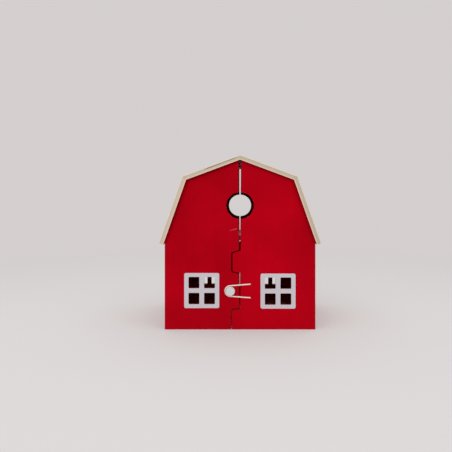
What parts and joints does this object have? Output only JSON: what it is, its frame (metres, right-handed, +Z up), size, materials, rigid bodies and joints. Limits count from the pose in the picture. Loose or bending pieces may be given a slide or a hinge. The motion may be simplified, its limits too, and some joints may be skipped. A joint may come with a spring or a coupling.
{
  "type": "wooden toy barn",
  "caption": "Toy farm barn in painted plywood with a gambrel roof, split down its middle into halves that open on rear hinges and shut with a cord loop over a peg.",
  "frame": {"origin": "centre of the bounding box in plan, on the surface the barn stands on", "axes": "+X across the front to the right, +Y from the front to the rear, +Z up"},
  "size_m": [0.3214, 0.274, 0.347],
  "materials": {
    "red_paint": "satin red paint on plywood",
    "birch_ply": "bare birch plywood, edges showing the plies",
    "floor_ply": "bare birch plywood",
    "white_paint": "satin cool white paint",
    "grey_white_paint": "satin grey-white paint",
    "elastic_cord": "braided cover",
    "hinge_brass": "plain rolled brass",
    "dowel_wood": "bare beech"
  },
  "bodies": {
    "left_half": {"front_wall_left": "red_paint", "back_wall_left": "red_paint", "side_wall_left": "red_paint", "ground_floor_left": "floor_ply", "loft_floor_left": "red_paint", "roof_upper_left": "birch_ply", "roof_lower_left": "birch_ply", "window_frame_front_left": "white_paint", "window_frame_back_left": "white_paint", "closure_peg": "grey_white_paint", "hinge_leaf_upper_left": "hinge_brass", "hinge_leaf_lower_left": "hinge_brass", "hinge_pin_upper": "hinge_brass", "hinge_pin_lower": "hinge_brass", "hinge_screws_left": "hinge_brass", "dowels_left": "dowel_wood"},
    "right_half": {"front_wall_right": "red_paint", "back_wall_right": "red_paint", "side_wall_right": "red_paint", "ground_floor_right": "floor_ply", "loft_floor_right": "red_paint", "roof_upper_right": "birch_ply", "roof_lower_right": "birch_ply", "window_frame_front_right": "white_paint", "window_frame_back_right": "white_paint", "cord_end_knots": "elastic_cord", "hinge_leaf_upper_right": "hinge_brass", "hinge_leaf_lower_right": "hinge_brass", "hinge_screws_right": "hinge_brass", "dowels_right": "dowel_wood"},
    "closure_loop": {"closure_cord": "elastic_cord"}
  },
  "joints": [
    {"name": "barn_open", "type": "hinge", "parent": "left_half", "child": "right_half", "pos_m": [0, 0.134, 0.1355], "axis": [0, 0, 1], "range_deg": [0, 180]},
    {"name": "loop_release", "type": "hinge", "parent": "right_half", "child": "closure_loop", "pos_m": [0.0201, -0.1306, 0.0769], "axis": [0, 0, 1], "range_deg": [0, 160]}
  ]
}
